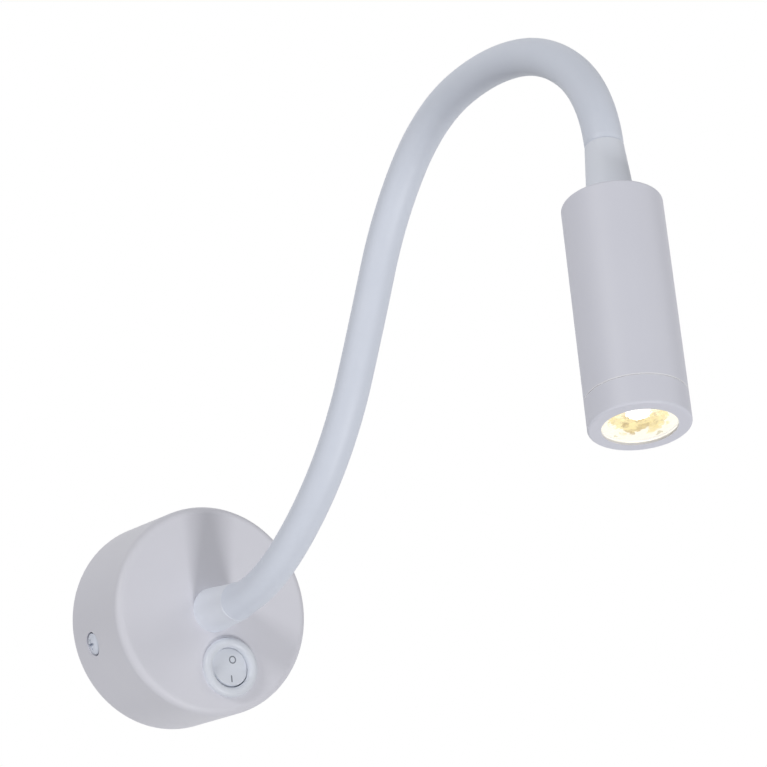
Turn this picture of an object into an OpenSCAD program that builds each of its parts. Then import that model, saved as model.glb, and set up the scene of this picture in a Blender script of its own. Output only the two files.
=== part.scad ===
// Flexible wall light: a round base cup on a wall bracket, a bendable sleeved neck and a spot head.
// Sizes are in millimetres. The wall is the plane y = 0, the light stands out towards -y and +z is up.

/* [Base] */
// Outer diameter of the base cup
base_d = 80; // [78:1:110]
// Depth of the base cup, from the wall to its front face
base_depth = 40; // [39:1:60]
// Wall of the base cup's side
cup_wall = 1.6; // [1:0.1:2]
// Thickness of the base cup's front
cup_front = 2; // [1.5:0.1:3]
// Rounding of the cup's front edge
cup_round = 3; // [2.5:0.1:6]
// Turn of the base about its own axis
base_turn = 21; // [0:1:40]

/* [Wall bracket] */
// Width of the bracket strap
strap_w = 18; // [15:1:22]
// Thickness of the bracket's sheet
strap_t = 2; // [1.5:0.1:2.5]
// Height of the bracket's ears above the wall
ear_h = 21; // [20:0.5:26]
// Distance between the two wall screw holes
wall_hole_pitch = 50; // [48:0.5:54]
// Diameter of the wall screw holes
wall_hole_d = 4.5; // [3.5:0.1:5.5]
// Diameter of the hole for the supply cable
cable_hole_d = 10; // [8:0.5:11]

/* [Cover screws] */
// Thread diameter of the cover screws
cover_screw_d = 4; // [3:0.5:5]
// Diameter of the pan head
cover_head_d = 8.2; // [7:0.1:9]
// Height of the pan head
cover_head_h = 2.6; // [2.2:0.1:3.2]
// Length of the thread under the head
cover_screw_l = 7; // [5:0.5:9]
// Height of the screw holes above the wall
cover_hole_z = 14.5; // [12:0.5:15.5]
// Play between a screw head and its hole in the cup
cover_head_play = 0.6; // [0.5:0.1:1]
// How far the screws sit behind the middle of their holes
cover_screw_back = 0.4; // [0:0.1:0.4]

/* [Neck] */
// Bendable length of the neck between its ferrules
neck_len = 350; // [252:1:450]
// Outer diameter of the neck's sleeve
neck_d = 12.7; // [12:0.1:14]
// Diameter of the steel core inside the sleeve
core_d = 9.6; // [9:0.1:10.4]
// Bore of the steel core
core_bore_d = 5.2; // [5:0.1:6]
// Diameter of the cable inside the neck
cable_d = 4.4; // [3.6:0.1:4.6]
// Bend of each stretch of the neck as it stands, up is positive
neck_bends = [31, 18, 20, 2, -22, -39, -21, -27, -38]; // [-45:1:45]
// Play of the ball joints between the stretches
ball_play = 0.3; // [0.25:0.05:0.4]

/* [Neck ends] */
// Thread diameter of the hollow studs at both ends of the neck
stud_d = 10; // [9:0.5:11]
// Bore of the studs
stud_bore_d = 5; // [4.8:0.1:5.6]
// Thickness of the stud washers
washer_t = 1; // [0.8:0.1:1.6]
// Outer diameter of the stud washers
washer_d = 17; // [15:0.5:18]
// Width of the stud nuts across their flats
nut_af = 14; // [13.5:0.5:15]
// Thickness of the stud nuts
nut_t = 4; // [3:0.5:5]
// Length of the collar on the base
collar_l = 20.5; // [19:0.5:26]
// Diameter of the collar at the base
collar_d1 = 17; // [16.4:0.1:18]
// Diameter of the collar at the neck
collar_d2 = 14.4; // [14.3:0.1:16]
// How far inside the collar's mouth the neck starts to bend
collar_mouth = 3.5; // [2:0.5:4]
// Length of the ferrule on the head
ferrule_l = 22; // [16:0.5:26]
// Diameter of the ferrule at the head
ferrule_d = 16; // [14.2:0.1:16.5]
// Length of the core inside each of the two end pieces
core_grip = 12; // [8:0.5:13]

/* [Switch] */
// Distance of the switch from the middle of the base
switch_off = 22.5; // [21.5:0.5:23]
// Diameter of the switch's hole in the base cup
switch_hole_d = 20; // [19:0.5:20.5]
// Diameter of the switch's bezel
bezel_d = 22.6; // [22:0.2:24]
// Diameter of the opening for the rocker
opening_d = 15.2; // [14.8:0.1:16]
// Straight foot of the bezel under its rounded top
bezel_foot = 0.7; // [0.4:0.1:1.2]
// Depth of the switch's housing behind the front face
housing_depth = 15; // [14:0.5:18]
// Tilt of the rocker to each side of its middle
rocker_tilt = 9; // [6:0.5:10]
// How far the pressed side of the rocker lies under the bezel's top
rocker_sink = 2.6; // [2:0.1:3]
// Diameter of the rocker's pivot pins
pivot_d = 2.4; // [2:0.1:2.6]
// Width of the flat terminals
blade_w = 4.8; // [4:0.1:5]
// Thickness of the flat terminals
blade_t = 0.8; // [0.6:0.1:1]
// Length of the flat terminals behind the housing
blade_l = 8; // [7:0.5:9]

/* [Driver and terminals] */
// Width of the LED driver
driver_w = 40; // [34:1:42]
// Height of the LED driver
driver_h = 18; // [15:0.5:19]
// Depth of the LED driver
driver_depth = 22; // [20:0.5:24]
// Thickness of the adhesive pad under the driver
pad_t = 1; // [0.8:0.1:1.5]
// Length of the terminal block along the strap
block_l = 12; // [10:0.5:12.5]
// Height of the terminal block above the strap
block_h = 12; // [11:0.5:14]
// Distance between the two poles of the terminal block
pole_pitch = 8; // [7:0.2:8.4]
// Diameter of the terminal block's clamp tubes
clamp_tube_d = 4.6; // [4.2:0.1:5]
// Diameter of the mains leads
lead_d = 2.2; // [1.8:0.1:2.4]

/* [Head] */
// Diameter of the spot head
head_d = 32.5; // [31:0.5:40]
// Length of the spot head with its front ring
head_l = 79; // [74:1:110]
// Rounding of the head's edges
head_round = 0.8; // [0.4:0.1:1.2]
// Thickness of the head's top
head_top = 3; // [2:0.2:4]
// Bore of the head behind the LED
head_bore_d = 25; // [23:0.5:26]
// Bore of the head at its front
seat_d = 28; // [27.4:0.1:28.6]
// Length of the front ring that shows
ring_l = 10; // [8:0.5:14]
// Length of the front ring's thread inside the head
ring_thread_l = 6; // [4:0.5:7]
// Diameter of the light opening in the front ring
light_d = 24; // [22.5:0.1:24.4]
// Thickness of the front ring's lip
lip_t = 0.8; // [0.6:0.1:1.5]

/* [LED and lens] */
// Diameter of the lens
lens_d = 25; // [24.8:0.1:25.2]
// Thickness of the lens at its rim
lens_rim = 2.4; // [1.8:0.1:3]
// Height of the lens
lens_h = 14; // [12.5:0.5:15]
// Diameter of the lens at its foot
lens_foot_d = 9; // [8.6:0.1:10]
// Diameter of the LED board
board_d = 20; // [19:0.5:21]
// Thickness of the LED board
board_t = 1.6; // [1:0.1:2]
// Width of the LED emitter
emitter_w = 5; // [4:0.1:5.2]
// Thickness of the heat sink
sink_t = 9; // [7:0.5:12]

/* [Hidden] */
$fn = 96;

// Colours of the materials
white_coat = "gainsboro";
white_silicone = "lavender";
white_plastic = "whitesmoke";
zinc = "silver";
steel = "slategray";
brass = "goldenrod";
alloy = "lightgray";
clear = "azure";
cable_grey = "dimgray";
phosphor = "gold";

// Clearances
seat_gap = 0.05;   // between pieces that are pushed into each other
thread_gap = 0.1;  // between a screw and its hole
slide_gap = 0.3;   // between pieces that pass each other
lead_room = 1.6;   // between a lead and the ear that it passes
cut = 1;           // how far a cutting shape runs past what it cuts

// Base cup and bracket
cup_r = base_d / 2;
cup_bore_r = cup_r - cup_wall;
cup_floor = base_depth - cup_front;
ear_r = cup_bore_r - slide_gap;
cover_hole_d = cover_head_d + 2 * cover_head_play;
cover_screw_z = cover_hole_z - cover_screw_back;

// Studs, washers and nuts at both ends of the neck
stud_hole_d = stud_d + 2 * slide_gap;
nut_corner_r = nut_af / 2 / cos(30);
stud_past_nut = 2;
stud_stack = washer_t + nut_t + stud_past_nut;
base_stud_l = cup_front + stud_stack;
head_stud_l = head_top + stud_stack;
collar_lip = 0.5;
collar_bend = collar_l - collar_mouth;
mouth_gap = 0.2;
sleeve_seat = 2;
ferrule_lip = 0.25;

// Neck: each stretch is an arc, with a ball at its far end and a socket at its near end
neck_r = neck_d / 2;
core_r = core_d / 2;
neck_n = len(neck_bends);
stretch_l = neck_len / neck_n;
ball_r = neck_r - seat_gap;
socket_r = ball_r + ball_play;
end_lap = 0.5;
function heading(i) = i == 0 ? 0 : heading(i - 1) + neck_bends[i - 1];
function bend_r(b) = stretch_l * 180 / (PI * b);
function step_of(b) = b == 0 ? [0, stretch_l] : [bend_r(b) * (1 - cos(b)), bend_r(b) * sin(b)];
function turned(p, a) = [p[1] * sin(a) + p[0] * cos(a), p[1] * cos(a) - p[0] * sin(a)];
function joint_at(i) = i == 0
    ? [0, base_depth + collar_bend]
    : joint_at(i - 1) + turned(step_of(neck_bends[i - 1]), heading(i - 1));

// Switch, measured from the front face of the base
bead_r = (bezel_d - opening_d) / 4;
bezel_top = bezel_foot + bead_r;
housing_r = switch_hole_d / 2 - 0.2;
rocker_depth = 3.4;
rocker_rise = 1.2;
rocker_play = 0.25;
rocker_r = opening_d / 2 - rocker_play;
pivot_z = bezel_top - rocker_sink - rocker_rise;
pivot_reach = (opening_d / 2 + housing_r) / 2 + 0.3;
pivot_gap = 0.08;
cavity_z = 3 - housing_depth;
snap_reach = 0.7;
snap_l = 3;
plunger_r = 1.1;
post_r = 2.1;
post_l = 2.4;
plunger_reach = 7.4;
contact_t = 0.6;
contact_w = 3;
contact_l = 10;
contact_gap = 0.25;
contact_z = pivot_z - plunger_reach - contact_gap - contact_t;
contact_ratio = 0.7;
contact_tilt = contact_ratio * rocker_tilt;
blade_pitch = 5.2;
connector_w = blade_w + 2;
connector_t = blade_t + 2;
connector_l = 11;
connector_grip = blade_l - 1;

// Driver and terminals, on the axes of the turned base
driver_y = washer_d / 2 + 2;
driver_z = cup_floor - pad_t - driver_depth;
driver_round = 2;
block_x = cable_hole_d / 2 + 1 + block_l / 2;
block_w = strap_w - 1;
clamp_z = strap_t + 4.4;
clamp_bore_d = 3;
clamp_screw_d = 2.4;
clamp_screw_l = block_h + strap_t - clamp_z - clamp_tube_d / 2 + 0.6;
earth_x = -(cable_hole_d / 2 + 5.5);
earth_d = 4;
earth_head_d = 7;
earth_head_h = 2.2;
lead_reach = ear_r - strap_t - lead_room - lead_d / 2;

// Spot head, measured along its axis from its top
body_l = head_l - ring_l;
head_r = head_d / 2;
lens_front = head_l - lip_t;
lens_foot = lens_front - lens_h;
emitter_base = 0.9;
dome_r = 2.1;
board_front = lens_foot - 0.4;
board_back = board_front - board_t;
sink_back = board_back - sink_t;
sink_r = seat_d / 2 - slide_gap / 2;
ring_bore_r = lens_d / 2 + slide_gap / 2;
ring_thread_r = seat_d / 2 - thread_gap;
seam = 0.25;
lens_neck_r = lens_d / 2 - 0.7;
pocket_r = emitter_w / sqrt(2) + slide_gap / 2;
pocket_h = 4.2;
roof_r = 8;
roof_drop = 1;
holder_wall = 0.9;
screw_ring_r = board_d / 2 - 0.8;
board_screw_d = 3;
notch_r = board_screw_d / 2 + slide_gap;
board_head_d = 5;
board_head_h = 1.8;
head_lead_d = 1.6;
lead_hole_r = head_lead_d / 2 + 0.4;
lead_ring_r = board_d / 2 + lead_hole_r + 0.2;

// Frames: z runs out from the wall or along the neck, y runs up
module out() {
    rotate([90, 0, 0]) children();
}
module base_frame() {
    out() rotate([0, 0, base_turn]) children();
}
module switch_frame() {
    base_frame() translate([0, -switch_off, base_depth]) rotate([0, 0, -base_turn]) children();
}
module neck_frame(i) {
    out() translate([0, joint_at(i)[0], joint_at(i)[1]]) rotate([-heading(i), 0, 0]) children();
}
module head_frame() {
    neck_frame(neck_n) translate([0, 0, ferrule_l]) children();
}

// Shapes that repeat
module ring(r_in, r_out, h) {
    difference() {
        cylinder(r = r_out, h = h);
        translate([0, 0, -cut]) cylinder(r = r_in, h = h + 2 * cut);
    }
}
module rounded_rect(w, h, r) {
    square([w - 2 * r, h], center = true);
    square([w, h - 2 * r], center = true);
    for (x = [-1, 1], y = [-1, 1]) {
        translate([x * (w / 2 - r), y * (h / 2 - r)]) circle(r);
    }
}
module rounded_half(r, h, round) {
    square([r, h - round]);
    square([r - round, h]);
    translate([r - round, h - round]) circle(round);
}
module pan_screw(d, l, head, head_h) {
    slot_w = head * 0.11;
    slot_l = head * 0.5;
    dome = head * 0.85;
    difference() {
        intersection() {
            cylinder(d = head, h = head_h);
            translate([0, 0, head_h - dome]) sphere(r = dome);
        }
        for (a = [0, 90]) {
            rotate([0, 0, a]) translate([-slot_l / 2, -slot_w / 2, head_h * 0.5])
                cube([slot_l, slot_w, head_h]);
        }
    }
    translate([0, 0, -l]) cylinder(d = d, h = l);
}
module stud_washer() {
    ring(stud_d / 2 + slide_gap / 2, washer_d / 2, washer_t);
}
module stud_nut() {
    difference() {
        cylinder(r = nut_corner_r, h = nut_t, $fn = 6);
        translate([0, 0, -cut]) cylinder(d = stud_d + 2 * thread_gap, h = nut_t + 2 * cut);
    }
}

// Swept tubes for the leads: a smooth curve through hand-set points, with round ends square to the curve
function unit(v) = v / norm(v);
function spline(a, b, c, d, t) =
    0.5 * (2 * b + (c - a) * t + (2 * a - 5 * b + 4 * c - d) * t * t + (3 * b - a - 3 * c + d) * t * t * t);
function smooth(p, k) = let (n = len(p)) concat(
    [for (i = [0:n - 2], j = [0:k - 1])
        spline(i == 0 ? 2 * p[0] - p[1] : p[i - 1], p[i], p[i + 1],
            i == n - 2 ? 2 * p[n - 1] - p[n - 2] : p[i + 2], j / k)],
    [p[n - 1]]);
function tangent(p, i, first, last) =
    i == 0 ? unit(first) : i == len(p) - 1 ? unit(last) : unit(p[i + 1] - p[i - 1]);
module tube(points, d, side, steps = 3, sides = 8) {
    p = smooth(points, steps);
    n = len(p);
    first = points[1] - points[0];
    last = points[len(points) - 1] - points[len(points) - 2];
    rings = [for (i = [0:n - 1])
        let (t = tangent(p, i, first, last), u = unit(side - (side * t) * t), v = cross(t, u))
        for (j = [0:sides - 1]) p[i] + d / 2 * (cos(360 * j / sides) * u + sin(360 * j / sides) * v)];
    walls = [for (i = [0:n - 2], j = [0:sides - 1]) let (k = (j + 1) % sides, a = i * sides, b = a + sides)
        each [[a + j, b + j, b + k], [a + j, b + k, a + k]]];
    ends = [[for (j = [0:sides - 1]) j], [for (j = [sides - 1:-1:0]) (n - 1) * sides + j]];
    polyhedron(rings, concat(walls, ends));
}

// Base
module cup_half(r, h, round) {
    rotate_extrude() rounded_half(r, h, round);
}
module base_cup() {
    color(white_coat) base_frame() difference() {
        cup_half(cup_r, base_depth, cup_round);
        translate([0, 0, -cut]) cup_half(cup_bore_r, cup_floor + cut, cup_round - cup_wall);
        translate([0, 0, cup_floor - cut]) cylinder(d = stud_hole_d, h = cup_front + 2 * cut);
        translate([0, -switch_off, cup_floor - cut]) cylinder(d = switch_hole_d, h = cup_front + 2 * cut);
        for (a = [0, 180]) {
            rotate([0, 0, a]) translate([cup_bore_r - 3 * cut, 0, cover_hole_z])
                rotate([0, 90, 0]) cylinder(d = cover_hole_d, h = cup_wall + 4 * cut);
        }
    }
}
module wall_bracket() {
    color(zinc) base_frame() difference() {
        intersection() {
            difference() {
                cylinder(r = ear_r, h = ear_h);
                translate([0, 0, strap_t]) cylinder(r = ear_r - strap_t, h = ear_h);
            }
            translate([-cup_r, -strap_w / 2, 0]) cube([base_d, strap_w, ear_h]);
        }
        translate([0, 0, -cut]) cylinder(d = cable_hole_d, h = strap_t + 2 * cut);
        for (x = [-1, 1]) {
            translate([x * wall_hole_pitch / 2, 0, -cut]) cylinder(d = wall_hole_d, h = strap_t + 2 * cut);
        }
        translate([earth_x, 0, -cut]) cylinder(d = earth_d + 2 * thread_gap, h = strap_t + 2 * cut);
        translate([-cup_r, 0, cover_screw_z]) rotate([0, 90, 0])
            cylinder(d = cover_screw_d + 2 * thread_gap, h = base_d);
    }
}
module cover_screws() {
    color(zinc) base_frame() for (a = [0, 180]) {
        rotate([0, 0, a]) translate([ear_r, 0, cover_screw_z]) rotate([0, 90, 0])
            pan_screw(cover_screw_d, cover_screw_l, cover_head_d, cover_head_h);
    }
}
module base_collar() {
    color(white_coat) out() translate([0, 0, base_depth]) difference() {
        union() {
            cylinder(d1 = collar_d1, d2 = collar_d2, h = collar_l - collar_lip);
            translate([0, 0, collar_l - collar_lip])
                cylinder(d1 = collar_d2, d2 = collar_d2 - 2 * collar_lip, h = collar_lip);
            translate([0, 0, -base_stud_l]) cylinder(d = stud_d, h = base_stud_l);
        }
        translate([0, 0, -base_stud_l - cut]) cylinder(d = stud_bore_d, h = base_stud_l + collar_l + 2 * cut);
        translate([0, 0, collar_bend - core_grip]) cylinder(r = core_r + seat_gap, h = collar_l);
        translate([0, 0, collar_bend - sleeve_seat]) cylinder(r = neck_r + mouth_gap, h = collar_l);
    }
}
module base_washer() {
    color(zinc) base_frame() translate([0, 0, cup_floor - washer_t]) stud_washer();
}
module base_nut() {
    color(zinc) base_frame() translate([0, 0, cup_floor - washer_t - nut_t]) stud_nut();
}

// Switch
module bezel_profile() {
    translate([opening_d / 2, 0]) square([2 * bead_r, bezel_foot]);
    translate([opening_d / 2 + bead_r, bezel_foot]) intersection() {
        circle(r = bead_r);
        translate([-bead_r, 0]) square([2 * bead_r, bead_r]);
    }
}
module switch_housing() {
    color(white_plastic) switch_frame() difference() {
        union() {
            rotate_extrude() bezel_profile();
            translate([0, 0, -housing_depth]) cylinder(r = housing_r, h = housing_depth);
            for (a = [0, 180]) {
                rotate([0, 0, a]) translate([0, -2, 0]) rotate([-90, 0, 0]) linear_extrude(4)
                    polygon([
                        [housing_r - 1, cup_front + snap_l],
                        [housing_r, cup_front + snap_l],
                        [housing_r + snap_reach, cup_front + seat_gap],
                        [housing_r - 1, cup_front + seat_gap]]);
            }
        }
        translate([0, 0, cavity_z]) cylinder(d = opening_d, h = housing_depth);
        translate([-pivot_reach - slide_gap, 0, pivot_z]) rotate([0, 90, 0])
            cylinder(d = pivot_d + 2 * pivot_gap, h = 2 * (pivot_reach + slide_gap));
        for (y = [0, blade_pitch]) {
            translate([-blade_w / 2 - seat_gap, y - blade_t / 2 - seat_gap, -housing_depth - cut])
                cube([blade_w + 2 * seat_gap, blade_t + 2 * seat_gap, housing_depth]);
        }
    }
}
module switch_rocker() {
    color(white_plastic) switch_frame() translate([0, 0, pivot_z]) rotate([-rocker_tilt, 0, 0]) {
        difference() {
            intersection() {
                sphere(r = rocker_r);
                translate([0, 0, -rocker_depth]) cylinder(r = bezel_d, h = bezel_d);
            }
            for (a = [0, 180]) {
                rotate([0, 0, a]) translate([-bezel_d, 0, rocker_rise]) rotate([rocker_tilt, 0, 0])
                    cube([2 * bezel_d, bezel_d, bezel_d]);
            }
            translate([0, 0, -rocker_depth - cut]) cylinder(r = plunger_r + seat_gap, h = rocker_depth + cut);
        }
        for (a = [0, 180]) {
            rotate([0, 0, a]) translate([rocker_r - 1, 0, 0]) rotate([0, 90, 0])
                cylinder(d = pivot_d, h = pivot_reach - rocker_r + 1);
        }
        translate([0, 0, -rocker_depth - post_l]) ring(plunger_r + seat_gap, post_r, post_l);
    }
}
module switch_plunger() {
    color(brass) switch_frame() translate([0, 0, pivot_z]) rotate([-rocker_tilt, 0, 0]) {
        translate([0, 0, plunger_r - plunger_reach]) {
            cylinder(r = plunger_r, h = plunger_reach - plunger_r - 0.5);
            intersection() {
                sphere(r = plunger_r);
                translate([0, 0, -plunger_r]) cylinder(r = 2 * plunger_r, h = plunger_r);
            }
        }
    }
}
module switch_contact() {
    color(brass) switch_frame() translate([0, 0, contact_z]) rotate([contact_tilt, 0, 0])
        translate([-contact_w / 2, -contact_l / 2, 0]) cube([contact_w, contact_l, contact_t]);
}
module switch_terminals() {
    post_top = contact_z - contact_gap;
    anvil_top = contact_z - contact_l / 2 * sin(contact_tilt) - contact_gap;
    color(brass) switch_frame() {
        translate([-blade_w / 2, -blade_t / 2, -housing_depth - blade_l])
            cube([blade_w, blade_t, post_top + housing_depth + blade_l]);
        translate([-blade_w / 2, blade_pitch - blade_t / 2, -housing_depth - blade_l])
            cube([blade_w, blade_t, anvil_top + housing_depth + blade_l]);
    }
}
module switch_connectors() {
    color(white_plastic) switch_frame() for (y = [0, blade_pitch]) {
        translate([0, y, -housing_depth - blade_l + connector_grip - connector_l]) difference() {
            linear_extrude(connector_l) rounded_rect(connector_w, connector_t, 1);
            translate([-blade_w / 2 - seat_gap, -blade_t / 2 - seat_gap, connector_l - connector_grip])
                cube([blade_w + 2 * seat_gap, blade_t + 2 * seat_gap, connector_grip + cut]);
        }
    }
}

// Driver, terminals and leads inside the base
module led_driver() {
    color(white_plastic) base_frame() translate([0, driver_y + driver_h / 2, driver_z]) {
        linear_extrude(driver_depth) rounded_rect(driver_w, driver_h, driver_round);
    }
}
module driver_pad() {
    pad_edge = 3;
    color(cable_grey) base_frame() translate([0, driver_y + driver_h / 2, cup_floor - pad_t])
        linear_extrude(pad_t) square([driver_w - 2 * pad_edge, driver_h - 2 * pad_edge], center = true);
}
module at_poles() {
    base_frame() for (y = [-1, 1]) {
        translate([block_x, y * pole_pitch / 2, 0]) children();
    }
}
module terminal_block() {
    color(white_plastic) difference() {
        base_frame() translate([block_x, 0, strap_t])
            linear_extrude(block_h) rounded_rect(block_l, block_w, 1);
        at_poles() translate([-block_l, 0, clamp_z]) rotate([0, 90, 0])
            cylinder(d = clamp_tube_d + 2 * seat_gap, h = 2 * block_l);
        at_poles() for (x = [-1, 1]) {
            translate([x * block_l / 4, 0, clamp_z])
                cylinder(d = clamp_screw_d + 2 * slide_gap, h = 2 * block_h);
        }
    }
}
module clamp_tubes() {
    color(brass) difference() {
        at_poles() translate([-block_l / 2 + 1, 0, clamp_z]) rotate([0, 90, 0])
            ring(clamp_bore_d / 2, clamp_tube_d / 2, block_l - 2);
        at_poles() for (x = [-1, 1]) {
            translate([x * block_l / 4, 0, clamp_z])
                cylinder(d = clamp_screw_d + 2 * thread_gap, h = block_h);
        }
    }
}
module clamp_screws() {
    slot = 0.5;
    color(zinc) difference() {
        at_poles() for (x = [-1, 1]) {
            translate([x * block_l / 4, 0, clamp_z + clamp_bore_d / 2])
                cylinder(d = clamp_screw_d, h = clamp_screw_l);
        }
        at_poles() translate([-block_l, -slot / 2, clamp_z + clamp_bore_d / 2 + clamp_screw_l - 2 * slot])
            cube([2 * block_l, slot, block_h]);
    }
}
module earth_screw() {
    color(brass) base_frame() translate([earth_x, 0, strap_t])
        pan_screw(earth_d, strap_t, earth_head_d, earth_head_h);
}
// Ends of the switch's connectors, on the axes of the turned base
function connector_end(y) = [
    y * sin(base_turn),
    y * cos(base_turn) - switch_off,
    base_depth - housing_depth - blade_l + connector_grip - connector_l];
module mains_lead(points) {
    base_frame() tube(points, lead_d, [0.3, 0.4, 1]);
}
module mains_leads() {
    live = connector_end(blade_pitch);
    load = connector_end(0);
    pole_x = block_x + block_l / 2;
    pole_y = pole_pitch / 2;
    side_x = driver_w / 2;
    side_y = driver_y + driver_h / 2;
    neutral_z = driver_z + 5;
    load_z = driver_z + 13;
    color("saddlebrown") mains_lead([
        [pole_x, -pole_y, clamp_z],
        [pole_x + 2.5, -pole_y, clamp_z],
        [pole_x + 3.5, -pole_y - 4.5, clamp_z + 0.4],
        [live[0] + 13, live[1] + 2.6, 6.2],
        [live[0] + 4.6, live[1] + 0.4, 5.8],
        [live[0], live[1], live[2] - 3.5],
        live]);
    color("black") mains_lead([
        load,
        [load[0], load[1], load[2] - 3.5],
        [load[0] + 5.5, load[1] - 2, 5],
        [16, load[1] - 1.5, 4.4],
        [26, -17, 6],
        [lead_reach - 1.2, -7.5, 14],
        [lead_reach, 2, 22],
        [lead_reach - 3.4, 13, load_z],
        [side_x + 4.5, side_y, load_z],
        [side_x, side_y, load_z]]);
    color("royalblue") mains_lead([
        [pole_x, pole_y, clamp_z],
        [pole_x + 2.5, pole_y, clamp_z],
        [pole_x + 6, pole_y + 5, clamp_z + 4],
        [side_x + 6, side_y - 4.5, neutral_z],
        [side_x + 4, side_y, neutral_z],
        [side_x, side_y, neutral_z]]);
}
module cable_tail() {
    start = base_depth - base_stud_l;
    drop = 12;
    color(cable_grey) base_frame() tube([
        [0, 0, start],
        [0, 0, start - 2],
        [0, 1.4, start - 6.5],
        [0, 5, start - 10.4],
        [0, driver_y - 1.5, start - drop],
        [0, driver_y, start - drop]], cable_d, [1, 0, 0], 2, 10);
}

// Neck
module bend(b, r_in, r_out, past) {
    if (b == 0) {
        ring(r_in, r_out, stretch_l + past);
    } else if (b > 0) {
        translate([0, bend_r(b), 0]) rotate([90, 0, -90])
            rotate_extrude(angle = b * (1 + past / stretch_l)) translate([bend_r(b), 0]) difference() {
                circle(r = r_out);
                if (r_in > 0) {
                    circle(r = r_in);
                }
            }
    } else {
        rotate([0, 0, 180]) bend(-b, r_in, r_out, past);
    }
}
module bend_end(b) {
    translate([0, step_of(b)[0], step_of(b)[1]]) rotate([-b, 0, 0]) children();
}
// What is cut away past the end of a stretch to leave a ball on it
module ball_cut() {
    rotate_extrude() difference() {
        square(2 * neck_r);
        circle(r = ball_r);
    }
}
// A straight piece inside an end piece, a little thinner than the layer that it lengthens
module straight_end(r_in, r_out, l) {
    translate([0, 0, -end_lap]) {
        if (r_in > 0) {
            ring(r_in + thread_gap, r_out - thread_gap, l + end_lap);
        } else {
            cylinder(r = r_out - thread_gap, h = l + end_lap);
        }
    }
}
// One stretch of one layer of the neck. Lead and tail lengthen its two fixed ends.
module stretch(i, r_in, r_out, lead, tail) {
    b = neck_bends[i];
    last = i == neck_n - 1;
    neck_frame(i) {
        difference() {
            bend(b, r_in, r_out, last ? 0 : neck_r);
            if (i > 0) {
                sphere(r = socket_r);
            }
            if (!last) {
                bend_end(b) ball_cut();
            }
        }
        if (i == 0) {
            mirror([0, 0, 1]) straight_end(r_in, r_out, lead);
        }
        if (last && tail > 0) {
            bend_end(b) straight_end(r_in, r_out, tail);
        }
    }
}
module neck_sleeve(i) {
    color(white_silicone) stretch(i, core_r + seat_gap, neck_r, sleeve_seat, 0);
}
module neck_core(i) {
    color(steel) stretch(i, core_bore_d / 2, core_r, core_grip, core_grip);
}
module neck_cable(i) {
    color(cable_grey) stretch(i, 0, cable_d / 2, collar_bend + base_stud_l, ferrule_l + head_stud_l);
}

// Spot head
module head_ferrule() {
    color(white_coat) neck_frame(neck_n) difference() {
        union() {
            cylinder(d1 = neck_d - 2 * ferrule_lip, d2 = neck_d, h = ferrule_lip);
            translate([0, 0, ferrule_lip]) cylinder(d1 = neck_d, d2 = ferrule_d, h = ferrule_l - ferrule_lip);
            translate([0, 0, ferrule_l]) cylinder(d = stud_d, h = head_stud_l);
        }
        translate([0, 0, -cut]) cylinder(d = stud_bore_d, h = ferrule_l + head_stud_l + 2 * cut);
        translate([0, 0, -cut]) cylinder(r = core_r + seat_gap, h = core_grip + cut);
    }
}
module head_washer() {
    color(zinc) head_frame() translate([0, 0, head_top]) stud_washer();
}
module head_nut() {
    color(zinc) head_frame() translate([0, 0, head_top + washer_t]) stud_nut();
}
module head_body() {
    color(white_coat) head_frame() difference() {
        translate([0, 0, body_l]) mirror([0, 0, 1]) cup_half(head_r, body_l, head_round);
        translate([0, 0, -cut]) cylinder(d = stud_hole_d, h = head_top + 2 * cut);
        translate([0, 0, head_top]) cylinder(d = head_bore_d, h = head_l);
        translate([0, 0, sink_back]) cylinder(d = seat_d, h = head_l);
    }
}
module heat_sink() {
    color(alloy) head_frame() translate([0, 0, sink_back]) difference() {
        cylinder(r = sink_r, h = sink_t);
        for (a = [0, 180]) {
            rotate([0, 0, a]) translate([lead_ring_r, 0, -cut])
                cylinder(r = lead_hole_r, h = sink_t + 2 * cut);
            rotate([0, 0, a + 90]) translate([screw_ring_r, 0, -cut])
                cylinder(d = board_screw_d + 2 * thread_gap, h = sink_t + 2 * cut);
        }
    }
}
module led_board() {
    color("seashell") head_frame() translate([0, 0, board_back]) linear_extrude(board_t) difference() {
        circle(d = board_d);
        for (a = [0:60:300]) {
            rotate(a + 30) translate([screw_ring_r, 0]) circle(r = notch_r);
        }
    }
}
module board_screws() {
    color(zinc) head_frame() for (a = [90, 270]) {
        rotate([0, 0, a]) translate([screw_ring_r, 0, board_front])
            pan_screw(board_screw_d, board_t + sink_t * 0.6, board_head_d, board_head_h);
    }
}
module led_emitter() {
    color(phosphor) head_frame() translate([0, 0, board_front]) {
        translate([-emitter_w / 2, -emitter_w / 2, 0]) cube([emitter_w, emitter_w, emitter_base]);
        translate([0, 0, emitter_base]) intersection() {
            sphere(r = dome_r);
            cylinder(r = 2 * dome_r, h = 2 * dome_r);
        }
    }
}
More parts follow.
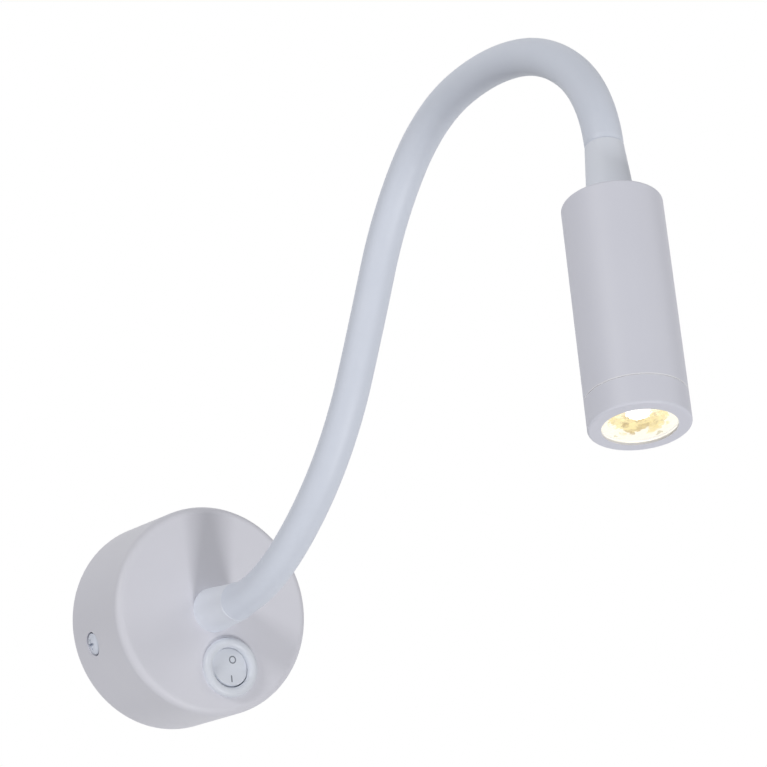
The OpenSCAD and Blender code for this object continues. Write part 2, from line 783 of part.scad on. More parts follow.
// Side of the lens: a parabola from its foot to its rim
lens_side_h = lens_h - lens_rim;
function lens_side(t) = [
    lens_foot_d / 2 + (lens_neck_r - lens_foot_d / 2) * (1.4 * t - 0.4 * t * t),
    lens_side_h * t];
lens_steps = 8;
module lens() {
    color(clear) head_frame() translate([0, 0, lens_foot]) difference() {
        rotate_extrude() polygon(concat(
            [[0, 0]],
            [for (k = [0:lens_steps]) lens_side(k / lens_steps)],
            [[lens_d / 2, lens_side_h], [lens_d / 2, lens_h], [0, lens_h]]));
        difference() {
            translate([0, 0, -cut]) cylinder(r = pocket_r, h = pocket_h + cut);
            translate([0, 0, pocket_h - roof_drop + roof_r]) sphere(r = roof_r);
        }
    }
}
module lens_holder() {
    foot = lens_foot - board_front;
    reach = 0.9;
    color(white_plastic) head_frame() translate([0, 0, lens_foot]) rotate_extrude() polygon(concat(
        [[emitter_w * 0.75, -foot], [lens_foot_d / 2 + holder_wall + slide_gap, -foot]],
        [for (k = [0:lens_steps]) lens_side(reach * k / lens_steps) + [holder_wall + slide_gap, 0]],
        [for (k = [lens_steps:-1:0]) lens_side(reach * k / lens_steps) + [slide_gap, 0]],
        [[lens_foot_d / 2 + slide_gap, -slide_gap], [emitter_w * 0.75, -slide_gap]]));
}
module front_ring() {
    color(white_coat) head_frame() difference() {
        union() {
            translate([0, 0, body_l]) cylinder(r1 = head_r - seam, r2 = head_r, h = seam);
            translate([0, 0, body_l + seam]) cup_half(head_r, ring_l - seam, head_round);
            translate([0, 0, body_l - ring_thread_l]) cylinder(r = ring_thread_r, h = ring_thread_l);
        }
        translate([0, 0, body_l - ring_thread_l - cut])
            cylinder(r = ring_bore_r, h = lens_front - body_l + ring_thread_l + cut);
        translate([0, 0, body_l]) cylinder(d = light_d, h = ring_l + cut);
    }
}
module head_leads() {
    start = head_stud_l;
    color(cable_grey) head_frame() for (a = [0, 180]) {
        rotate([0, 0, a]) tube([
            [1.1, 0, start],
            [1.1, 0, start + 3],
            [2.5, 0, start + 12],
            [lead_ring_r - 2.5, 0, sink_back - 9],
            [lead_ring_r, 0, sink_back - 2],
            [lead_ring_r, 0, sink_back + 3],
            [lead_ring_r, 0, board_front - 1.4],
            [lead_ring_r - 0.8, 0, board_front + 0.7],
            [lead_ring_r - 2.2, 0, board_front + 1.4],
            [lead_ring_r - 3.8, 0, board_front + 0.9]], head_lead_d, [0, 1, 0]);
    }
}

base_cup();
wall_bracket();
cover_screws();
base_collar();
base_washer();
base_nut();
switch_housing();
switch_terminals();
switch_connectors();
switch_rocker();
switch_plunger();
switch_contact();
led_driver();
driver_pad();
terminal_block();
clamp_tubes();
clamp_screws();
earth_screw();
mains_leads();
cable_tail();
for (i = [0:neck_n - 1]) {
    neck_sleeve(i);
    neck_core(i);
    neck_cable(i);
}
head_ferrule();
head_washer();
head_nut();
head_body();
heat_sink();
led_board();
board_screws();
led_emitter();
lens_holder();
lens();
front_ring();
head_leads();
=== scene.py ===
# %% [markdown]
# # Dressing a flexible wall light
# The CAD frame already holds every rigid piece of the light at its real size: the base cup, its bracket,
# the switch, the bendable neck and the spot head. This lesson gives each piece the finish of its real
# material and adds what is soft, fine or clear: the silicone sleeve, the rocker's rounded cap, the lens
# and the wires.
# Everything is in metres, the wall is the plane y = 0, the light stands out towards -y and +z is up.

import bmesh
import bpy
import numpy as np
from mathutils import Matrix


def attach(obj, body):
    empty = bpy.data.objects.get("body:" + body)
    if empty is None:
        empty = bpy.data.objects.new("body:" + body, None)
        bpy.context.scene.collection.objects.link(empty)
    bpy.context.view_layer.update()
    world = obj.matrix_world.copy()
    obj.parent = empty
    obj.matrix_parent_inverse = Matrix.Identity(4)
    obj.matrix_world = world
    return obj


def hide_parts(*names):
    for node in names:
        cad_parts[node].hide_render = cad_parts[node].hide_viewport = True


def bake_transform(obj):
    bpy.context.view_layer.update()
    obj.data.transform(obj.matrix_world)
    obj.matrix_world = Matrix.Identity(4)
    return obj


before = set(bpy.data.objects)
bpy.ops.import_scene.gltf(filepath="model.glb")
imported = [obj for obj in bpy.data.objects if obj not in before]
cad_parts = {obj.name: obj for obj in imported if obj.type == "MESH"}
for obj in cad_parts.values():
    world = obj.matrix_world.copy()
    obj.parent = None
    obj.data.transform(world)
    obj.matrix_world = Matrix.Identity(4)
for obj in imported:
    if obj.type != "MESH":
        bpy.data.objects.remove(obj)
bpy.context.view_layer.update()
MM = 0.001

# %% [markdown]
# ## The camera
# A product picture is easiest to match with a long lens, because the far camera keeps the proportions
# flat. The camera could be aimed with a constraint, but three angles and a distance say more to a reader:
# a turn round the object, a lift above the horizon (negative here, so it looks up into the lens) and a
# small roll. The lights are placed by the same function.

# %% Camera
CAMERA_TARGET = np.array([2.7, -160.0, 62.7]) * MM
CAMERA_DISTANCE = 1183.3 * MM
CAMERA_LENS = 157.37


def looking_in(turn, lift, roll, distance):
    """Place and axes of something that looks at the target: right, up and back are the columns. Back
    points from the target outwards, and roll turns right towards up."""
    turn, lift, roll = np.radians([turn, lift, roll])
    right = np.array([np.cos(turn), np.sin(turn), 0])
    up = np.array([-np.sin(lift) * np.sin(turn), np.sin(lift) * np.cos(turn), np.cos(lift)])
    back = np.cross(right, up)
    place = np.eye(4)
    place[:3, 0] = np.cos(roll) * right + np.sin(roll) * up
    place[:3, 1] = np.cos(roll) * up - np.sin(roll) * right
    place[:3, 2] = back
    place[:3, 3] = CAMERA_TARGET + distance * back
    return Matrix(place.tolist())


camera = bpy.data.objects.new("camera", bpy.data.cameras.new("camera"))
camera.data.lens = CAMERA_LENS
camera.matrix_world = looking_in(turn=-28.91, lift=-15.64, roll=2.53, distance=CAMERA_DISTANCE)
bpy.context.scene.collection.objects.link(camera)
bpy.context.scene.camera = camera
print("camera at", [round(x, 3) for x in camera.matrix_world.translation])

# %% [markdown]
# ## From grids to meshes
# Every new piece is a grid of points: rows run along a path or a profile, columns run round it. numpy
# works out all the points at once, and one function puts them into a mesh. A grid whose rows also close,
# like a ring cake, is a hollow tube with both of its ends shut, so it has an inside, an outside and no
# open edge. Modifiers could make some of these forms, but a formula gives every point its exact place.

# %% Grid helpers
WELD = 0.0005 * MM
SHARP_EDGE = np.radians(38)


def grid_faces(rows, columns, rows_close=False):
    """Quads between the neighbours of a grid. Columns always close on themselves, rows only if asked."""
    first_rows = np.arange(rows if rows_close else rows - 1)
    row, column = np.meshgrid(first_rows, np.arange(columns), indexing="ij")
    next_row, next_column = (row + 1) % rows, (column + 1) % columns
    corners = [(row, column), (row, next_column), (next_row, next_column), (next_row, column)]
    return np.stack([r * columns + c for r, c in corners], axis=-1).reshape(-1, 4)


def make_piece(name, points, faces, material, straight=None):
    """A mesh object at the origin from points and quads, with doubled points welded and its faces turned
    outwards. straight keeps where each point lies on a straight tube, for patterns that follow a bent
    one."""
    mesh = bpy.data.meshes.new(name)
    mesh.from_pydata(points.reshape(-1, 3).tolist(), [], faces.tolist())
    if straight is not None:
        layer = mesh.attributes.new("straight", "FLOAT_VECTOR", "POINT")
        layer.data.foreach_set("vector", straight.astype(np.float32).ravel())
    shell = bmesh.new()
    shell.from_mesh(mesh)
    bmesh.ops.remove_doubles(shell, verts=shell.verts, dist=WELD)
    bmesh.ops.recalc_face_normals(shell, faces=shell.faces)
    shell.to_mesh(mesh)
    shell.free()
    mesh.shade_smooth()
    mesh.set_sharp_from_angle(angle=SHARP_EDGE)
    mesh.materials.append(material)
    piece = bpy.data.objects.new(name, mesh)
    bpy.context.scene.collection.objects.link(piece)
    print(name, "has", len(mesh.vertices), "points and", len(mesh.polygons), "faces")
    return piece


# %% [markdown]
# ## Colour and nodes
# Colours are written as the sRGB hex values a painter would pick on a screen and turned to linear light
# by one function. One more function adds a shader node with its settings and links, so that a material
# reads like a list. A Mix node has one set of sockets for each type of data, and those for colours are
# found by their numbers.

# %% Material helpers
MIX_FACTOR, MIX_A, MIX_B, MIX_RESULT = 0, 6, 7, 2


def linear(hex_colour):
    """sRGB to linear: c / 12.92 for the darkest values, else ((c + 0.055) / 1.055) to the power 2.4."""
    srgb = np.array([int(hex_colour[i:i + 2], 16) for i in (1, 3, 5)]) / 255
    rgb = np.where(srgb <= 0.04045, srgb / 12.92, ((srgb + 0.055) / 1.055) ** 2.4)
    return (*rgb.tolist(), 1.0)


def per(size_mm):
    """How many features of this size fit in a metre, which is a texture's scale on Object coordinates."""
    return 1 / (size_mm * MM)


def add(tree, kind, inputs=None, **settings):
    """Adds one node. settings are its properties, inputs its sockets: a socket as value makes a link."""
    made = tree.nodes.new("ShaderNode" + kind)
    for name, value in settings.items():
        setattr(made, name, value)
    for key, value in (inputs or {}).items():
        if isinstance(value, bpy.types.NodeSocket):
            tree.links.new(value, made.inputs[key])
        else:
            made.inputs[key].default_value = value
    return made


def new_finish(name, **constants):
    """A material with a Principled BSDF, its constant sockets set directly, and its Object coordinates."""
    finish = bpy.data.materials.new(name)
    finish.use_nodes = True
    shader = finish.node_tree.nodes["Principled BSDF"]
    for socket, value in constants.items():
        shader.inputs[socket.replace("_", " ")].default_value = value
    place = add(finish.node_tree, "TexCoord").outputs["Object"]
    return finish, finish.node_tree, shader, place


def dress(finish, *names):
    """Puts a finish on CAD nodes."""
    for name in names:
        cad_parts[name].material_slots[0].material = finish
    print(finish.name, "on", ", ".join(names))


# %% [markdown]
# ## White powder coat
# The base is coated with polyester powder that melts in an oven. It leaves a satin skin with a faint
# orange peel: waves about a millimetre and a half wide and only a few microns high. Displacing the mesh
# for that would take millions of faces, so a bump map carries it. A second, slow noise keeps the white
# from looking like flat paint. The cover screws have a cooler white. The collar and the ferrule have a
# cool white close to the sleeve's, painted brighter as painted light that lifts them out of the shade
# they lie in at the neck's two ends. The head's own coat comes further on.

# %% Powder coat
PEEL_MM, PEEL_HEIGHT = 1.5, 0.006 * MM
DRIFT_MM = 28


def powder_coat(name, dark, light):
    """Satin powder coat: fine noise for the peel and its gloss, slow noise for the drift of the white."""
    finish, tree, shader, place = new_finish(name, Specular_IOR_Level=0.45)
    peel = add(tree, "TexNoise", {"Vector": place, "Scale": per(PEEL_MM), "Detail": 2.0, "Roughness": 0.4})
    drift = add(tree, "TexNoise", {"Vector": place, "Scale": per(DRIFT_MM), "Detail": 2.0})
    white = add(tree, "Mix", {MIX_FACTOR: drift.outputs["Fac"], MIX_A: linear(dark),
                              MIX_B: linear(light)}, data_type="RGBA")
    satin = add(tree, "MapRange", {"Value": peel.outputs["Fac"], "To Min": 0.45, "To Max": 0.58})
    bump = add(tree, "Bump", {"Height": peel.outputs["Fac"], "Distance": PEEL_HEIGHT})
    tree.links.new(white.outputs[MIX_RESULT], shader.inputs["Base Color"])
    tree.links.new(satin.outputs["Result"], shader.inputs["Roughness"])
    tree.links.new(bump.outputs["Normal"], shader.inputs["Normal"])
    return finish


dress(powder_coat("powder_coated_steel", "#D9D9E1", "#DEDEE5"), "base_cup")
dress(powder_coat("powder_coated_cool_white", "#D7DCE8", "#DCE1EB"), "cover_screws")
# painted light: a brighter copy of the cool white for the collar and the ferrule, which lie in shade
dress(powder_coat("powder_coated_white_painted_light", "#E2E6EF", "#E6EAF2"), "base_collar", "head_ferrule")

# %% [markdown]
# ## Moulded white plastics
# The switch is moulded in ABS, a touch cooler and smoother than the coat, with faint clouds where the
# plastic flowed. The driver's case, the terminal block and the push-on connectors come from spark-eroded
# tools, whose fine pits make them dull. Images could carry both, but they would have to be unwrapped
# onto the pieces, and noise in Object coordinates has no seams.

# %% ABS of the switch
abs_white, tree, shader, place = new_finish("moulded_abs", IOR=1.54)
flow = add(tree, "TexNoise", {"Vector": place, "Scale": per(6), "Detail": 3.0})
white = add(tree, "Mix", {MIX_FACTOR: flow.outputs["Fac"], MIX_A: linear("#D8DCE5"),
                          MIX_B: linear("#DDE1E8")}, data_type="RGBA")
gloss = add(tree, "MapRange", {"Value": flow.outputs["Fac"], "To Min": 0.4, "To Max": 0.5})
tree.links.new(white.outputs[MIX_RESULT], shader.inputs["Base Color"])
tree.links.new(gloss.outputs["Result"], shader.inputs["Roughness"])
dress(abs_white, "switch_housing")

# %% Spark-eroded plastic of the driver and terminals
case_plastic, tree, shader, place = new_finish("moulded_polycarbonate_spark_eroded", Roughness=0.55)
pits = add(tree, "TexNoise", {"Vector": place, "Scale": per(0.5), "Detail": 3.0, "Roughness": 0.6})
white = add(tree, "Mix", {MIX_FACTOR: pits.outputs["Fac"], MIX_A: linear("#D6D5CF"),
                          MIX_B: linear("#E4E3DE")}, data_type="RGBA")
bump = add(tree, "Bump", {"Height": pits.outputs["Fac"], "Distance": 0.02 * MM})
tree.links.new(white.outputs[MIX_RESULT], shader.inputs["Base Color"])
tree.links.new(bump.outputs["Normal"], shader.inputs["Normal"])
dress(case_plastic, "led_driver", "terminal_block", "switch_connectors")

# %% [markdown]
# ## Metals
# The bracket, screws, nuts and washers are zinc-plated steel: a pale metal whose plating clouds in
# patches of a few millimetres. The contacts and clamps are rolled brass, which dulls unevenly, and the
# neck's core is spring steel with a film of oil. One noise drives both the colour and the gloss of a
# plating or a tarnish, because on the real metal the same patches change both.

# %% Zinc plate
zinc, tree, shader, place = new_finish("zinc_plated_steel", Metallic=1.0)
cloud = add(tree, "TexNoise", {"Vector": place, "Scale": per(4), "Detail": 4.0})
pale = add(tree, "Mix", {MIX_FACTOR: cloud.outputs["Fac"], MIX_A: linear("#B4B8BC"),
                         MIX_B: linear("#CDD0D2")}, data_type="RGBA")
dull = add(tree, "MapRange", {"Value": cloud.outputs["Fac"], "To Min": 0.28, "To Max": 0.46})
tree.links.new(pale.outputs[MIX_RESULT], shader.inputs["Base Color"])
tree.links.new(dull.outputs["Result"], shader.inputs["Roughness"])
dress(zinc, "wall_bracket", "base_washer", "base_nut", "clamp_screws", "head_washer", "head_nut",
      "board_screws")

# %% Rolled brass
brass, tree, shader, place = new_finish("rolled_brass", Metallic=1.0)
tarnish = add(tree, "TexNoise", {"Vector": place, "Scale": per(3), "Detail": 5.0})
gold = add(tree, "Mix", {MIX_FACTOR: tarnish.outputs["Fac"], MIX_A: linear("#A9853F"),
                         MIX_B: linear("#CDAE62")}, data_type="RGBA")
dull = add(tree, "MapRange", {"Value": tarnish.outputs["Fac"], "To Min": 0.42, "To Max": 0.25})
tree.links.new(gold.outputs[MIX_RESULT], shader.inputs["Base Color"])
tree.links.new(dull.outputs["Result"], shader.inputs["Roughness"])
dress(brass, "switch_terminals", "switch_plunger", "switch_contact", "clamp_tubes", "earth_screw")

# %% Spring steel of the neck's core
NECK_STRETCHES = 9
core_steel, tree, shader, place = new_finish("drawn_spring_steel", Metallic=1.0, Roughness=0.34)
oil = add(tree, "TexNoise", {"Vector": place, "Scale": per(5), "Detail": 3.0})
grey = add(tree, "Mix", {MIX_FACTOR: oil.outputs["Fac"], MIX_A: linear("#7C8085"),
                         MIX_B: linear("#9A9DA1")}, data_type="RGBA")
tree.links.new(grey.outputs[MIX_RESULT], shader.inputs["Base Color"])
dress(core_steel, *[f"neck_core_{i}" for i in range(NECK_STRETCHES)])

# %% [markdown]
# ## The neck's path
# The neck is a chain of nine short arcs. Each arc leaves in the direction in which the one before it
# ends, so the whole line follows from one length and nine angles. A spline through hand-set points could
# look alike, but it would not meet the joints of the frame. The chord of an arc has a handy formula: its
# length is the arc's length times sin(a) / a, where a is half the bend, and it points half the bend past
# the arc's heading.

# %% Neck path
NECK_START, NECK_LENGTH = 57 * MM, 350 * MM
STRETCH = NECK_LENGTH / NECK_STRETCHES
NECK_BENDS = np.radians([31, 18, 20, 2, -22, -39, -21, -27, -38])
HEADINGS = np.concatenate([[0], np.cumsum(NECK_BENDS)])
SIDEWAYS = np.array([1.0, 0, 0])


def outward(heading):
    """Unit direction in the neck's plane: straight out from the wall at 0, straight up at a quarter
    turn."""
    return np.stack([0 * heading, -np.cos(heading), np.sin(heading)], axis=-1)


def chord(length, heading, bend):
    """From an arc's start to its end: length * sin(bend / 2) / (bend / 2), half the bend past the
    heading."""
    return (length * np.sinc(bend / 2 / np.pi))[..., None] * outward(heading + bend / 2)


stretch_chords = chord(np.full(NECK_STRETCHES, STRETCH), HEADINGS[:-1], NECK_BENDS)
joints = np.cumsum([NECK_START * outward(HEADINGS[0]), *stretch_chords], axis=0)


def neck_line(s):
    """Points and directions on the centre line at lengths s from where the neck starts to bend."""
    i = np.clip(np.floor(s / STRETCH).astype(int), 0, NECK_STRETCHES - 1)
    past = s - i * STRETCH
    bend = np.where(s < 0, 0, NECK_BENDS[i] * past / STRETCH)
    return joints[i] + chord(past, HEADINGS[i], bend), outward(HEADINGS[i] + bend)


head_axis = outward(HEADINGS[-1])
print("neck ends at", (joints[-1] / MM).round(2).tolist(), "mm, pointing", head_axis.round(3).tolist())

# %% [markdown]
# ## Silicone sleeve
# A white silicone tube is pushed over the steel core and bends with it. Modelled as one rigid tube it
# would tear at every joint of the frame, so it is made as eight lengths, each from the middle of one
# stretch to the middle of the next, and each is curved along the neck's line across the joint in its
# middle. Extruded silicone is soft to the eye: matt, a little cooler than the coat, with faint lengthwise
# lines from the die. The lines follow the bent tube, so the material reads where each point would lie on
# a straight one. Real die lines are finer than these, which are as coarse as they need to be to show.

# %% Silicone
DIE_LINE_MM, DIE_LINE_HEIGHT = 0.9, 0.012 * MM
DIE_STRETCH = 0.03
silicone, tree, shader, _ = new_finish("extruded_silicone", Roughness=0.5, Sheen_Weight=0.12,
                                       Sheen_Roughness=0.5)
on_straight = add(tree, "Attribute", attribute_name="straight").outputs["Vector"]
lengthwise = add(tree, "Mapping", {"Vector": on_straight, "Scale": (1, 1, DIE_STRETCH)}).outputs["Vector"]
die_lines = add(tree, "TexNoise", {"Vector": lengthwise, "Scale": per(DIE_LINE_MM), "Detail": 2.0})
dust = add(tree, "TexNoise", {"Vector": on_straight, "Scale": per(9), "Detail": 4.0, "Roughness": 0.6})
pale = add(tree, "Mix", {MIX_FACTOR: dust.outputs["Fac"], MIX_A: linear("#D8DEEA"),
                         MIX_B: linear("#DEE3EE")}, data_type="RGBA")
bump = add(tree, "Bump", {"Height": die_lines.outputs["Fac"], "Distance": DIE_LINE_HEIGHT})
tree.links.new(pale.outputs[MIX_RESULT], shader.inputs["Base Color"])
tree.links.new(bump.outputs["Normal"], shader.inputs["Normal"])
print(silicone.name, "with die lines", DIE_LINE_MM, "mm wide")

# %% Sleeve lengths
SLEEVE_LENGTHS = NECK_STRETCHES - 1
SLEEVE_R, SLEEVE_BORE_R = 6.35 * MM, 4.85 * MM
SLEEVE_SIDES, SLEEVE_ROWS = 72, 56
SLEEVE_HIDDEN, SLEEVE_ROUND = 2 * MM, 0.35 * MM
COLLAR_MOUTH, MOUTH_R = 3.52 * MM, 6.5 * MM
FOOT_R, FOOT_EASE = 7.2 * MM, 9 * MM


def sleeve_surface(start, end):
    """A tube round the neck's line from length start to end: out along its outside, back along its bore.
    Each point is line(s) + r * (cos(t) * sideways + sin(t) * normal). The far end is a little rounded.
    The foot is a stub hidden in the collar, then a square shoulder on the collar's mouth and a swelling
    that eases off."""
    s = np.linspace(max(start, COLLAR_MOUTH), end, SLEEVE_ROWS)
    r = SLEEVE_R - SLEEVE_ROUND * np.clip(1 - (NECK_LENGTH - s) / SLEEVE_ROUND, 0, 1) ** 2
    r += (FOOT_R - SLEEVE_R) * np.clip(1 - (s - COLLAR_MOUTH) / FOOT_EASE, 0, 1) ** 2
    if start < COLLAR_MOUTH:
        s[:3] = [start, COLLAR_MOUTH, COLLAR_MOUTH]
        r[:3] = [MOUTH_R, MOUTH_R, FOOT_R]
    s = np.concatenate([s, s[::-1]])
    r = np.concatenate([r, np.full(SLEEVE_ROWS, SLEEVE_BORE_R)])
    t = np.linspace(0, 2 * np.pi, SLEEVE_SIDES, endpoint=False)
    point, direction = neck_line(s)
    direction[s <= COLLAR_MOUTH] = outward(HEADINGS[0])
    normal = np.cross(direction, SIDEWAYS)
    ring = np.cos(t)[None, :, None] * SIDEWAYS + np.sin(t)[None, :, None] * normal[:, None]
    along = np.repeat(s[:, None], SLEEVE_SIDES, axis=1)
    straight = np.stack([r[:, None] * np.cos(t), r[:, None] * np.sin(t), along], axis=-1)
    return point[:, None] + r[:, None, None] * ring, straight


sleeve_faces = grid_faces(2 * SLEEVE_ROWS, SLEEVE_SIDES, rows_close=True)
for i in range(1, SLEEVE_LENGTHS + 1):
    start = -SLEEVE_HIDDEN if i == 1 else (i - 0.5) * STRETCH
    end = NECK_LENGTH if i == SLEEVE_LENGTHS else (i + 0.5) * STRETCH
    points, straight = sleeve_surface(start, end)
    sleeve = make_piece(f"sleeve_{i}", points, sleeve_faces, silicone, straight)
    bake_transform(sleeve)
    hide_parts(*(["neck_sleeve_0", "neck_sleeve_1"] if i == 1 else [f"neck_sleeve_{i}"]))

# %% [markdown]
# ## The rocker's cap
# The CAD rocker has the right tilt and travel but sharp rims. A moulded rocker is a ball turned about
# its pivot, so that its skirt keeps the same gap to the bezel as it tips, with two flat wings on top.
# Cutting and rounding it with booleans would leave a messy mesh. Instead the cap is one grid over the
# ball, and each point takes the lower of two heights: the ball's own and that of the wings. Where the
# two cross, a soft lower makes the rounded rim.

# %% Rocker cap
BASE_TURN = np.radians(21)
BASE_FRONT = 40 * MM
SWITCH_OFF = 22.5 * MM
SWITCH_CENTRE = SWITCH_OFF * np.array([np.sin(BASE_TURN), -np.cos(BASE_TURN)])
ROCKER_R, ROCKER_RISE, ROCKER_DEPTH = 7.55 * MM, 1.2 * MM, 3.4 * MM
ROCKER_TILT = np.radians(9)
PIVOT_DEPTH = 1.25 * MM
VALLEY, RIM_SOFT = 0.7 * MM, 0.25 * MM
CAP_ROWS, CAP_SIDES = 96, 96


def cap_height(y, ball):
    """The lower of the wings and the ball, (a + b - hypot(a - b, soft)) / 2. The wings are a hyperbola,
    round in the valley between them and straight further out."""
    wings = ROCKER_RISE + np.tan(ROCKER_TILT) * (np.hypot(y, VALLEY) - VALLEY)
    return (wings + ball - np.hypot(wings - ball, RIM_SOFT)) / 2


def on_switch(x, y, z):
    """From the rocker's own axes to the world: tilt it to its rest, lift it to its pivot and stand it on
    the base."""
    up = y * np.cos(ROCKER_TILT) + z * np.sin(ROCKER_TILT)
    out = z * np.cos(ROCKER_TILT) - y * np.sin(ROCKER_TILT)
    return np.stack([SWITCH_CENTRE[0] + x, PIVOT_DEPTH - BASE_FRONT - out, SWITCH_CENTRE[1] + up], axis=-1)


down = np.linspace(0, np.pi / 2 + np.arcsin(ROCKER_DEPTH / ROCKER_R), CAP_ROWS)[:, None]
t = np.linspace(0, 2 * np.pi, CAP_SIDES, endpoint=False)
from_middle = ROCKER_R * np.sin(down)
x, y = from_middle * np.cos(t), from_middle * np.sin(t)
skin = on_switch(x, y, cap_height(y, ROCKER_R * np.cos(down)))
foot = on_switch(0 * x[-1:], 0 * y[-1:], np.full((1, CAP_SIDES), -ROCKER_DEPTH))
cap = make_piece("rocker_cap", np.concatenate([skin, foot]), grid_faces(CAP_ROWS + 1, CAP_SIDES), abs_white)
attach(cap, "rocker")
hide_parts("switch_rocker")

# %% [markdown]
# ## Marks on the rocker
# A ring and a bar, printed in grey ink, say which side is off and which is on. An image on the cap would
# blur from close by. Ink is a few hundredths of a millimetre thick, so each mark is a thin closed band
# that lies on the cap: two outlines on the cap's own height formula, lifted a little at the top and sunk
# a little at the bottom.

# %% Printed marks
INK_RISE, INK_SINK = 0.03 * MM, 0.05 * MM
MARK_SIDES = 48
CIRCLE_R, CIRCLE_STROKE = 1.5 * MM, 0.48 * MM
BAR_LENGTH, BAR_WIDTH = 2.9 * MM, 0.55 * MM
CIRCLE_AT, BAR_AT = np.array([1.2, 3.0]) * MM, np.array([0.6, -4.7]) * MM
ink, tree, shader, place = new_finish("pad_printed_ink", Roughness=0.5)
speckle = add(tree, "TexNoise", {"Vector": place, "Scale": per(0.3), "Detail": 3.0})
grey = add(tree, "Mix", {MIX_FACTOR: speckle.outputs["Fac"], MIX_A: linear("#6F737C"),
                         MIX_B: linear("#8A8E97")}, data_type="RGBA")
tree.links.new(grey.outputs[MIX_RESULT], shader.inputs["Base Color"])


def make_mark(name, outer, inner):
    """A thin closed band between two outlines on the cap: inner and outer on top, outer and inner
    underneath."""
    outline = np.stack([inner, outer, outer, inner])
    lift = np.array([INK_RISE, INK_RISE, -INK_SINK, -INK_SINK])[:, None]
    x, y = outline[..., 0], outline[..., 1]
    height = cap_height(y, np.sqrt(ROCKER_R ** 2 - x ** 2 - y ** 2)) + lift
    faces = grid_faces(len(outline), MARK_SIDES, rows_close=True)
    mark = make_piece(name, on_switch(x, y, height), faces, ink)
    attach(mark, "rocker")


t = np.linspace(0, 2 * np.pi, MARK_SIDES, endpoint=False)
circle = np.stack([np.cos(t), np.sin(t)], axis=-1)
make_mark("mark_off", CIRCLE_AT + CIRCLE_R * circle, CIRCLE_AT + (CIRCLE_R - CIRCLE_STROKE) * circle)
bar_half = (BAR_LENGTH - BAR_WIDTH) / 2 * np.stack([0 * t, np.sign(np.sin(t))], axis=-1)
make_mark("mark_on", BAR_AT + bar_half + BAR_WIDTH / 2 * circle, BAR_AT + bar_half)

# %% [markdown]
# ## The head and its seam
# The spot head is coated aluminium, and its front ring screws in with a fine seam. Left to the geometry
# the seam is a thin dark line, while on the real light it looks paler than the head, as its edges catch
# the light. So the head has a powder coat like the base's, with a painted highlight: its colour lifted
# less than half a millimetre on each side of the seam. How far a point lies along the head's axis and
# away from it follows from Object coordinates with a dot and a cross product.

# %% Head axis
FERRULE = 22 * MM
HEAD_LENGTH, RING_LENGTH, LIP = 79 * MM, 10 * MM, 0.8 * MM
head_top = joints[-1] + FERRULE * head_axis
head_normal = np.cross(head_axis, SIDEWAYS)
print("head starts at", (head_top / MM).round(2).tolist(), "mm")


def turned(profile, sides):
    """A profile of (radius, distance from the head's top) carried round the head's axis: top + distance *
    axis + radius * (cos(t) * sideways + sin(t) * normal)."""
    t = np.linspace(0, 2 * np.pi, sides, endpoint=False)
    ring = np.cos(t)[:, None] * SIDEWAYS + np.sin(t)[:, None] * head_normal
    return head_top + profile[:, 1, None, None] * head_axis + profile[:, 0, None, None] * ring


def head_distances(tree, place):
    """For a material on the head: how far a point lies from the head's axis, the length of its cross
    product with the axis, and how far past the head's top, their dot product."""
    axis = head_axis.tolist()
    from_top = add(tree, "VectorMath", {0: place, 1: head_top.tolist()}, operation="SUBTRACT").outputs[0]
    across = add(tree, "VectorMath", {0: from_top, 1: axis}, operation="CROSS_PRODUCT").outputs[0]
    radius = add(tree, "VectorMath", {0: across}, operation="LENGTH").outputs["Value"]
    past_top = add(tree, "VectorMath", {0: from_top, 1: axis}, operation="DOT_PRODUCT").outputs["Value"]
    return radius, past_top


# %% Painted highlight on the seam
HIGHLIGHT_REACH, HIGHLIGHT_FULL = 0.4 * MM, 0.24 * MM
head_coat = powder_coat("powder_coated_aluminium_painted_seam_highlight", "#DADBE5", "#DFE0E9")
tree = head_coat.node_tree
coat_colour = tree.nodes["Principled BSDF"].inputs["Base Color"]
_, past_top = head_distances(tree, add(tree, "TexCoord").outputs["Object"])
past_seam = add(tree, "Math", {0: past_top, 1: HEAD_LENGTH - RING_LENGTH}, operation="SUBTRACT").outputs[0]
from_seam = add(tree, "Math", {0: past_seam}, operation="ABSOLUTE").outputs[0]
# painted highlight: the coat is lifted to near white on both sides of the seam
painted_highlight = add(tree, "MapRange", {"Value": from_seam, "From Min": HIGHLIGHT_REACH, "From Max": HIGHLIGHT_FULL})
coat = add(tree, "Mix", {MIX_FACTOR: painted_highlight.outputs["Result"], MIX_A: coat_colour.links[0].from_socket,
                         MIX_B: linear("#EFEFF3")}, data_type="RGBA")
tree.links.new(coat.outputs[MIX_RESULT], coat_colour)
dress(head_coat, "head_body", "front_ring")

# %% [markdown]
# ## The lens
# A small spot has a clear acrylic lens that gathers the light of one LED: a pocket over the LED with a
# domed roof, a flank that mirrors the light forward from inside, and a flat front. It is a profile
# turned about the head's axis. Rays that bounce inside it are slow to render and noisy, so one material
# has three zones: a clear front that bends what is seen through it, a flank that glows with the light it
# mirrors, and a pocket as bright as the LED. The flank is moulded in small facets. Near the LED they
# mirror the yellow phosphor, each in its own tone, and further out they are white with a few grey ones.
# The edge between the two is ragged, because it lies at another radius on each facet. A faint bump of
# the same size on the front breaks up what lies behind it.

